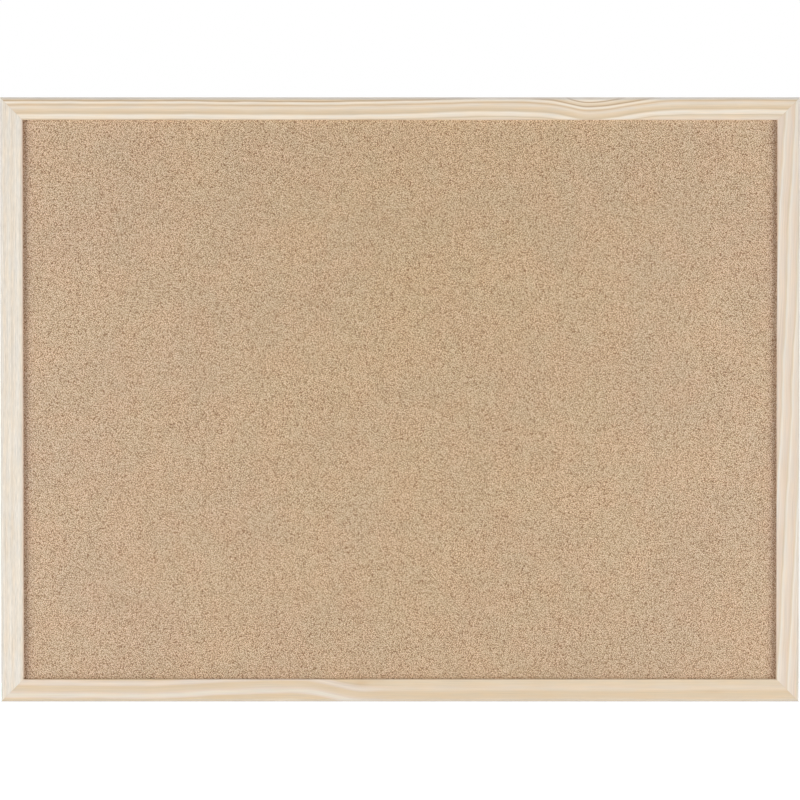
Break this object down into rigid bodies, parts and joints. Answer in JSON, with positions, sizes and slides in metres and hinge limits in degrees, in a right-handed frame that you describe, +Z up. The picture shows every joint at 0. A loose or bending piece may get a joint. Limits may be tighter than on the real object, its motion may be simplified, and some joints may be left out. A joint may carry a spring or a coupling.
{
  "type": "cork notice board",
  "caption": "Wall-hung cork pin board in a mitred softwood frame, with a softboard core, a hardboard back, swinging D-ring hangers and wall bumpers.",
  "frame": {"origin": "On the wall plane that the bumpers touch, behind the middle of the board", "axes": "+X to the right as seen from the front, +Z up, and +Y into the wall, so that the cork faces -Y"},
  "size_m": [0.6, 0.02, 0.454],
  "materials": {
    "pine": "satin",
    "cork": "matte",
    "softboard": "matte",
    "hardboard": "matte",
    "zinc_steel": "satin",
    "black_steel": "satin",
    "rubber": "matte"
  },
  "bodies": {
    "board": {"rail_top": "pine", "rail_bottom": "pine", "stile_left": "pine", "stile_right": "pine", "cork_sheet": "cork", "core_board": "softboard", "back_panel": "hardboard", "corner_nail_bottom_right_outer": "zinc_steel", "corner_nail_bottom_right_inner": "zinc_steel", "corner_nail_bottom_left_outer": "zinc_steel", "corner_nail_bottom_left_inner": "zinc_steel", "corner_nail_top_left_outer": "zinc_steel", "corner_nail_top_left_inner": "zinc_steel", "corner_nail_top_right_outer": "zinc_steel", "corner_nail_top_right_inner": "zinc_steel", "retaining_point_top_1": "black_steel", "retaining_point_top_2": "black_steel", "retaining_point_top_3": "black_steel", "retaining_point_top_4": "black_steel", "retaining_point_bottom_1": "black_steel", "retaining_point_bottom_2": "black_steel", "retaining_point_bottom_3": "black_steel", "retaining_point_bottom_4": "black_steel", "retaining_point_left_1": "black_steel", "retaining_point_left_2": "black_steel", "retaining_point_left_3": "black_steel", "retaining_point_right_1": "black_steel", "retaining_point_right_2": "black_steel", "retaining_point_right_3": "black_steel", "hanger_strap_left": "zinc_steel", "hanger_strap_right": "zinc_steel", "hanger_screw_left": "zinc_steel", "hanger_screw_right": "zinc_steel", "wall_bumper_left": "rubber", "wall_bumper_right": "rubber"},
    "ring_left": {"hanger_ring_left": "zinc_steel"},
    "ring_right": {"hanger_ring_right": "zinc_steel"}
  },
  "joints": [
    {"name": "ring_left_swing", "type": "hinge", "parent": "board", "child": "ring_left", "pos_m": [-0.2928, -0.0022, 0.167], "axis": [-1, 0, 0], "range_deg": [0, 171]},
    {"name": "ring_right_swing", "type": "hinge", "parent": "board", "child": "ring_right", "pos_m": [0.2928, -0.0022, 0.167], "axis": [-1, 0, 0], "range_deg": [0, 171]}
  ]
}
